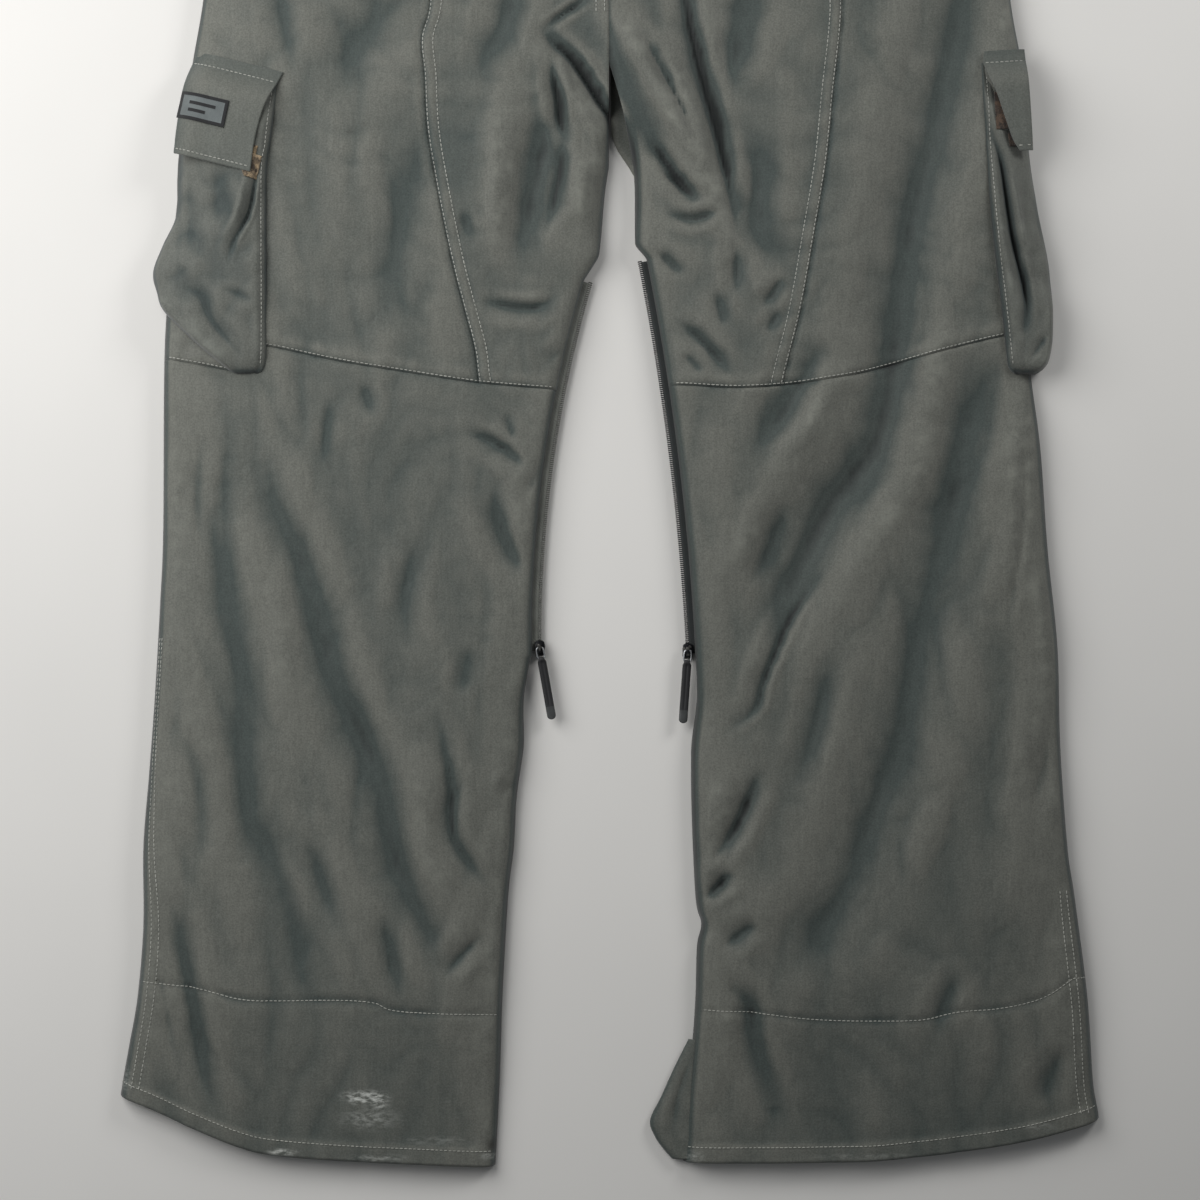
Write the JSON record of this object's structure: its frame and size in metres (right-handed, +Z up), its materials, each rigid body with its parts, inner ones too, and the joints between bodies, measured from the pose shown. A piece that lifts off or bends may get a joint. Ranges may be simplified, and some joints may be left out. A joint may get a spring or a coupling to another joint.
{
  "type": "cargo snow trousers",
  "caption": "Insulated cargo snow trousers lying flat, back up: panelled legs, flapped thigh pockets, zipped inner-leg vents, inner gaiters, open at waist and hems.",
  "frame": {"origin": "middle of the underside, on the surface that the garment lies on", "axes": "+Y from hems to waist, +X to the wearer's right, +Z up out of the back of the garment"},
  "size_m": [0.688, 1.074, 0.0322],
  "materials": {
    "outer_cloth": "plain weave, dull",
    "waist_cloth": "plain weave, dull",
    "lining_cloth": "dull",
    "zip_tape": "dull",
    "zip_coil": "satin",
    "slider_metal": "satin, worn at the edges",
    "ring_wire": "bright",
    "pull_webbing": "dull",
    "hook_strip": "hooked pile, worn",
    "loop_strip": "looped pile, worn",
    "label_patch": "woven, dark border",
    "snap_metal": "satin"
  },
  "bodies": {
    "garment": {"left_back_outer_thigh": "outer_cloth", "left_back_inner_thigh": "outer_cloth", "left_back_lower_leg": "outer_cloth", "left_front_thigh": "outer_cloth", "left_front_lower_leg": "outer_cloth", "right_back_outer_thigh": "outer_cloth", "right_back_inner_thigh": "outer_cloth", "right_back_lower_leg": "outer_cloth", "right_front_thigh": "outer_cloth", "right_front_lower_leg": "outer_cloth", "left_pocket_bag": "outer_cloth", "right_pocket_bag": "outer_cloth", "left_hem_gusset": "outer_cloth", "right_hem_gusset": "outer_cloth", "waistband_back": "waist_cloth", "waistband_front_left": "waist_cloth", "waistband_front_right": "waist_cloth", "belt_loop_back_left": "waist_cloth", "belt_loop_back_centre": "waist_cloth", "belt_loop_back_right": "waist_cloth", "belt_loop_front_left": "waist_cloth", "belt_loop_front_right": "waist_cloth", "left_gaiter": "lining_cloth", "right_gaiter": "lining_cloth", "left_vent_front_tape": "zip_tape", "left_vent_back_tape": "zip_tape", "right_vent_front_tape": "zip_tape", "right_vent_back_tape": "zip_tape", "fly_tape_left": "zip_tape", "fly_tape_right": "zip_tape", "left_vent_coil": "zip_coil", "right_vent_coil": "zip_coil", "fly_coil": "zip_coil", "left_pocket_loop_strip": "loop_strip", "right_pocket_loop_strip": "loop_strip", "waist_snap_cap": "snap_metal", "waist_snap_socket": "snap_metal"},
    "left_flap": {"left_pocket_flap": "outer_cloth", "left_flap_hook_strip": "hook_strip", "left_flap_label": "label_patch"},
    "right_flap": {"right_pocket_flap": "outer_cloth", "right_flap_hook_strip": "hook_strip"},
    "left_vent_runner": {"left_vent_slider": "slider_metal"},
    "right_vent_runner": {"right_vent_slider": "slider_metal"},
    "left_vent_pull": {"left_vent_pull_ring": "ring_wire", "left_vent_pull_tab": "pull_webbing"},
    "right_vent_pull": {"right_vent_pull_ring": "ring_wire", "right_vent_pull_tab": "pull_webbing"},
    "fly_runner": {"fly_slider": "slider_metal"}
  },
  "joints": [
    {"name": "left_flap_lift", "type": "hinge", "parent": "garment", "child": "left_flap", "pos_m": [-0.2891, 0.245, 0.02155], "axis": [-0.9683, 0.2499, 0], "range_deg": [0, 140]},
    {"name": "right_flap_lift", "type": "hinge", "parent": "garment", "child": "right_flap", "pos_m": [0.2559, 0.243, 0.02155], "axis": [-0.9923, -0.124, 0], "range_deg": [0, 140]},
    {"name": "left_vent_travel", "type": "hinge", "parent": "garment", "child": "left_vent_runner", "pos_m": [0.83783, -0.16593, 0.005], "axis": [0, 0, -1], "range_deg": [0, 16.5]},
    {"name": "right_vent_travel", "type": "hinge", "parent": "garment", "child": "right_vent_runner", "pos_m": [-1.88271, -0.27622, 0.005], "axis": [0, 0, 1], "range_deg": [0, 8]},
    {"name": "left_pull_swing", "type": "hinge", "parent": "left_vent_runner", "child": "left_vent_pull", "pos_m": [-0.04834, -0.17241, 0.00925], "axis": [-0.9848, -0.1736, 0], "range_deg": [0, 150]},
    {"name": "right_pull_swing", "type": "hinge", "parent": "right_vent_runner", "child": "right_vent_pull", "pos_m": [0.05485, -0.17452, 0.00925], "axis": [-0.9976, 0.0698, 0], "range_deg": [0, 150]},
    {"name": "fly_travel", "type": "slide", "parent": "garment", "child": "fly_runner", "axis": [0, -1, 0], "range_m": [0, 0.148]}
  ]
}
